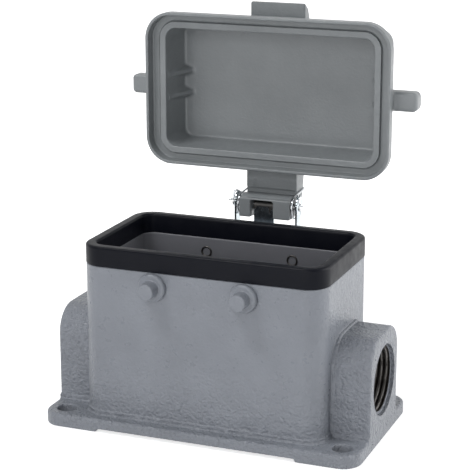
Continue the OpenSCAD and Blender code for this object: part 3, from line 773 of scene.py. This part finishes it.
def makeSpring(name, side):
    s = spring
    r, wire, over = s["r"], 2 * s["wire"], s["lug"] + 0.36
    xOut, xIn, cheek = s["outer"], s["inner"], hinge["cheekOut"]
    hook = chased([(cheek + 3 * wire, -0.6 * r, 0.4 * r), (cheek + 1.2 * wire, -0.6 * r, 0.4 * r),
                   (cheek + 0.36, -0.5 * r, 0.7 * r), (cheek + 0.4, -0.35 * r, over + 0.1),
                   (xOut + 0.5 * wire, -0.25 * r, over + 0.1), (xOut, -0.02 * r, r)])
    turn = []
    for i in range(1, 60):
        a = math.radians(95 - 350 * i / 60)
        turn.append(Vector((xOut + (xIn - xOut) * i / 60, r * math.cos(a), r * math.sin(a))))
    leg = chased([(xIn, 0.15 * r, r + 0.1 * wire), (xIn, s["back"] - wire, 1.2 * r),
                  (xIn - 0.5 * wire, s["back"] + 0.6 * wire, 1.22 * r),
                  (xIn - 3.5 * wire, s["back"] + 0.6 * wire, 1.22 * r)])
    path = [(side * p[0], hingeY + p[1], hingeZ + p[2]) for p in hook + turn + leg]
    obj = drawn(name + "_wire", path, s["wire"])
    obj.data.materials.append(look["wire"])
    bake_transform(obj)
    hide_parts(name)
    return obj


makeSpring("spring_left", -1)
makeSpring("spring_right", 1)
print("hinge made")


# floor and light

def seen(t, path, gloss=None):  # 1 where the camera, a gloss or a clear part looks at it
    shine = path.outputs["Is Glossy Ray"]
    if gloss:
        shine = combined(t, "MULTIPLY", shine, gloss)
    clear = combined(t, "MAXIMUM", path.outputs["Is Camera Ray"], path.outputs["Is Transmission Ray"])
    return combined(t, "MAXIMUM", clear, shine)


def addStage():
    bpy.ops.mesh.primitive_plane_add(size=40.0, location=(0, 0, -0.00005))
    floor = bpy.context.object
    floor.name = "floor"
    m, t, s = finish("floor_white", (0.9, 0.9, 0.9), 0.9, specular=0.1)
    glow, both, mix, path = (t.nodes.new("ShaderNodeEmission"), t.nodes.new("ShaderNodeAddShader"),
                             t.nodes.new("ShaderNodeMixShader"), t.nodes.new("ShaderNodeLightPath"))
    glow.inputs[0].default_value = (1, 1, 1, 1)
    t.links.new(s.outputs[0], both.inputs[0])
    t.links.new(glow.outputs[0], both.inputs[1])
    where, far = t.nodes.new("ShaderNodeTexCoord"), t.nodes.new("ShaderNodeVectorMath")
    far.operation = "LENGTH"
    t.links.new(where.outputs["Object"], far.inputs[0])
    t.links.new(ramp(t, far.outputs["Value"], 0.1, 0.4, 0.65, 1.0), glow.inputs[1])
    t.links.new(seen(t, path), mix.inputs[0])
    t.links.new(s.outputs[0], mix.inputs[1])
    t.links.new(both.outputs[0], mix.inputs[2])
    t.links.new(mix.outputs[0], t.nodes["Material Output"].inputs[0])
    floor.data.materials.append(m)
    world = bpy.data.worlds.new("studio")
    scene.world = world
    world.use_nodes = True
    t = world.node_tree
    t.nodes.clear()
    out = t.nodes.new("ShaderNodeOutputWorld")
    light, white, mix = (t.nodes.new("ShaderNodeBackground"), t.nodes.new("ShaderNodeBackground"),
                         t.nodes.new("ShaderNodeMixShader"))
    light.inputs[0].default_value, light.inputs[1].default_value = (0.97, 0.98, 1.0, 1), 0.2
    white.inputs[0].default_value, white.inputs[1].default_value = (1, 1, 1, 1), 1.0
    where, parts = t.nodes.new("ShaderNodeTexCoord"), t.nodes.new("ShaderNodeSeparateXYZ")
    t.links.new(where.outputs["Generated"], parts.inputs[0])
    around = ramp(t, parts.outputs["Y"], -0.6, -0.1, 0, 1)  # the backdrop stands behind and beside the part
    t.links.new(seen(t, t.nodes.new("ShaderNodeLightPath"), around), mix.inputs[0])
    t.links.new(light.outputs[0], mix.inputs[1])
    t.links.new(white.outputs[0], mix.inputs[2])
    t.links.new(mix.outputs[0], out.inputs[0])


def addLamp(name, position, aim, size, power):
    data = bpy.data.lights.new(name, "AREA")
    data.shape, data.size, data.size_y = "RECTANGLE", size[0], size[1]
    data.energy = power
    lamp = bpy.data.objects.new(name, data)
    lamp.location = position
    lamp.rotation_euler = (Vector(position) - Vector(aim)).to_track_quat("Z", "Y").to_euler()
    scene.collection.objects.link(lamp)


lamps = dict(
    lamp_right=dict(position=(0.85, 0.40, 0.35), aim=(0, 0, 0.05), size=(0.6, 0.8), power=6.4),
    lamp_top=dict(position=(-0.25, -0.3, 0.85), aim=(0, 0, 0.06), size=(0.3, 0.3), power=3.4),
    lamp_front=dict(position=(0.05, -1.15, 0.38), aim=(0, 0, 0.06), size=(1.0, 0.6), power=5.5),
)

addStage()
for name, lamp in lamps.items():
    addLamp(name, **lamp)
scene.view_settings.view_transform = "Standard"
print("stage made")
